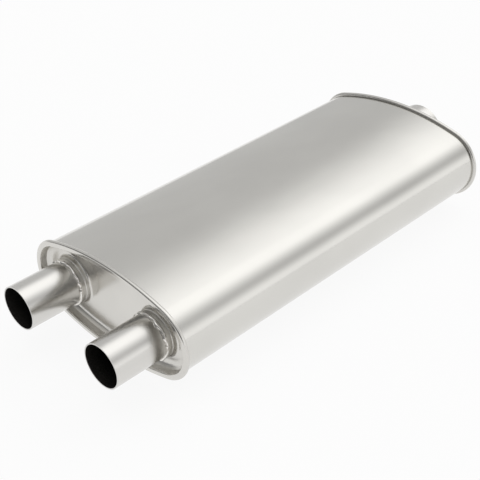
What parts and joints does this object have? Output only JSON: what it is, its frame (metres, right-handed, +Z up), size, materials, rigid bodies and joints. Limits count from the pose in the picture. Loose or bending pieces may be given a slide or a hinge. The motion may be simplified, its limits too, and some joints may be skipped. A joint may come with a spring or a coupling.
{
  "type": "muffler",
  "caption": "Oval exhaust muffler with rolled rims, dished end caps, twin inlet pipes at one end and a single centred outlet pipe at the other.",
  "frame": {"origin": "on the ground, under the middle of the whole length and width, between the rolled rims it lies on", "axes": "+X along the body towards the single outlet pipe, +Y across it, +Z up"},
  "size_m": [0.6858, 0.2782, 0.1294],
  "materials": {
    "shell_sheet": "satin",
    "cap_sheet": "satin",
    "pipe_tube": "bright drawn tube",
    "weld_metal": "as welded",
    "inner_sheet": "mill",
    "steel_wool": "fibrous",
    "glass_fibre": "matted fibre"
  },
  "bodies": {
    "root": {"outer_shell": "shell_sheet", "inner_shell": "inner_sheet", "seam_weld": "weld_metal", "front_cap": "cap_sheet", "rear_cap": "cap_sheet", "inlet_pipe_left": "pipe_tube", "inlet_pipe_right": "pipe_tube", "outlet_pipe": "pipe_tube", "inlet_weld_left": "weld_metal", "inlet_weld_right": "weld_metal", "outlet_weld": "weld_metal", "front_baffle": "inner_sheet", "middle_baffle": "inner_sheet", "rear_baffle": "inner_sheet", "core_tube_left": "inner_sheet", "core_tube_right": "inner_sheet", "front_wool_left": "steel_wool", "front_wool_right": "steel_wool", "rear_wool_left": "steel_wool", "rear_wool_right": "steel_wool", "front_packing": "glass_fibre", "rear_packing": "glass_fibre"}
  },
  "joints": []
}
